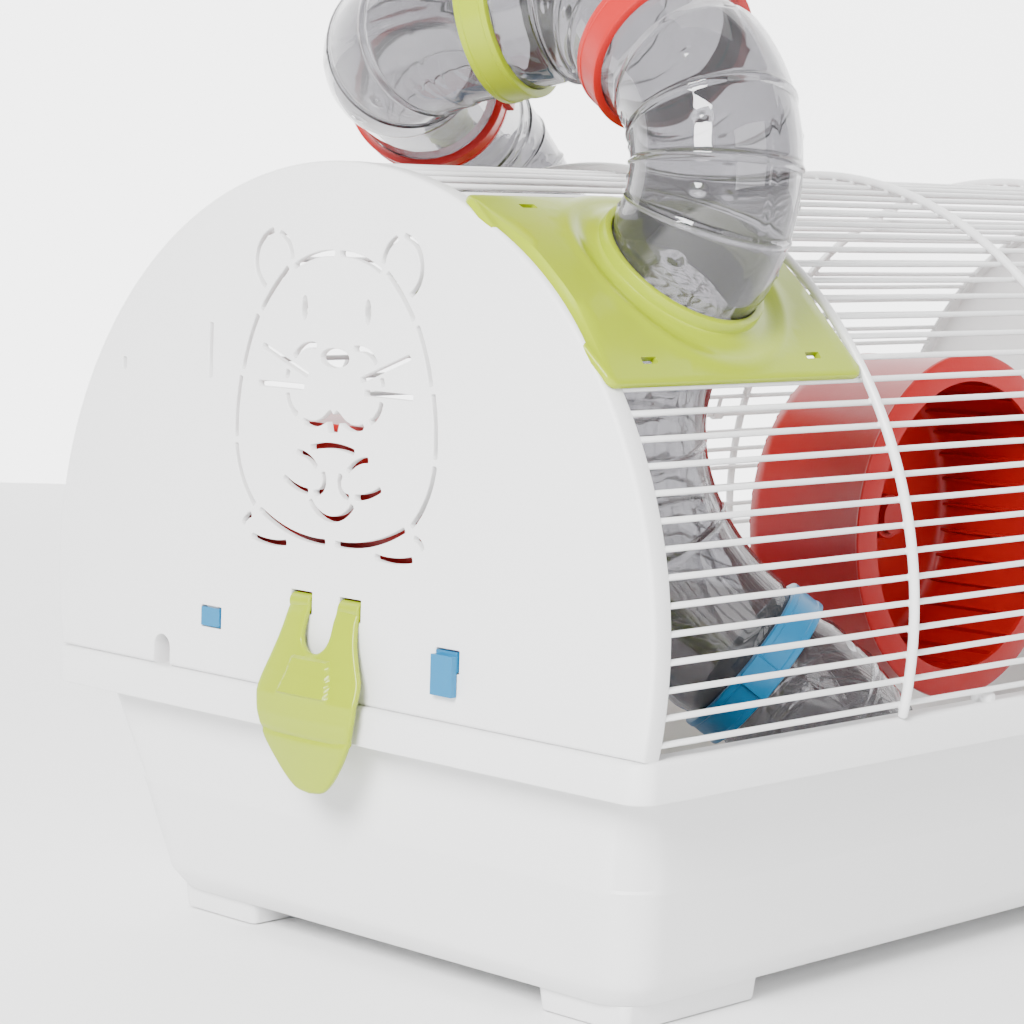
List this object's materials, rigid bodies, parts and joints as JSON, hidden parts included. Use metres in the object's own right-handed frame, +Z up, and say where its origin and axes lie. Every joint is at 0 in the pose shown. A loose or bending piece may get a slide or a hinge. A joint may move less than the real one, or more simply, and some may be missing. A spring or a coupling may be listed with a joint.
{
  "type": "hamster cage",
  "caption": "Hamster cage with a deep white tray, arched wire canopy between moulded end panels, clear tunnels over the roof, and a wheel, shelf, house and ladder inside.",
  "frame": {"origin": "on the ground under the middle of the tray", "axes": "+Z up, X along the cage with the patterned front panel at -X, Y across it with the near roof port at -Y"},
  "size_m": [0.5258, 0.298, 0.3577],
  "materials": {
    "tray_white": "smooth moulded plastic",
    "white_plastic": "smooth moulded plastic",
    "white_wire": "dip-coated steel wire",
    "lime_plastic": "smooth moulded plastic",
    "red_plastic": "smooth moulded plastic",
    "blue_plastic": "smooth moulded plastic",
    "clear_plastic": "clear moulded plastic"
  },
  "bodies": {
    "cage": {"tray": "tray_white", "end_panel_front": "white_plastic", "end_panel_rear": "white_plastic", "canopy_bars": "white_wire", "canopy_hoops": "white_wire", "port_plate_near": "lime_plastic", "port_plate_far": "lime_plastic", "tunnel_near_elbow": "clear_plastic", "tunnel_top_elbow": "clear_plastic", "tunnel_far_elbow": "clear_plastic", "tunnel_port_elbow": "clear_plastic", "ring_near": "red_plastic", "ring_top": "lime_plastic", "ring_far": "red_plastic", "tunnel_inner_bend": "clear_plastic", "ring_inner": "blue_plastic", "tunnel_floor_end": "clear_plastic", "shelf": "blue_plastic", "nest_house": "red_plastic", "house_roof": "red_plastic", "wheel_axle": "white_plastic", "wheel_stand": "white_plastic"},
    "front_clip": {"clip_front": "lime_plastic"},
    "rear_clip": {"clip_rear": "lime_plastic"},
    "door": {"side_door": "white_wire"},
    "wheel": {"wheel_drum": "red_plastic"},
    "ladder": {"ladder": "lime_plastic"}
  },
  "joints": [
    {"name": "front_clip_hinge", "type": "hinge", "parent": "cage", "child": "front_clip", "pos_m": [-0.2508, 0, 0.1257], "axis": [0, 1, 0], "range_deg": [0, 65]},
    {"name": "rear_clip_hinge", "type": "hinge", "parent": "cage", "child": "rear_clip", "pos_m": [0.2508, 0, 0.1257], "axis": [0, -1, 0], "range_deg": [0, 65]},
    {"name": "side_door_hinge", "type": "hinge", "parent": "cage", "child": "door", "pos_m": [0.06313, 0.13915, 0.16681], "axis": [-1, 0, 0], "range_deg": [0, 110]},
    {"name": "wheel_spin", "type": "hinge", "parent": "cage", "child": "wheel", "pos_m": [0.05, -0.01, 0.1376], "axis": [0, 1, 0], "continuous": true},
    {"name": "ladder_lift", "type": "hinge", "parent": "cage", "child": "ladder", "pos_m": [-0.0359, 0.074, 0.1084], "axis": [0, -1, 0], "range_deg": [0, 35]}
  ]
}
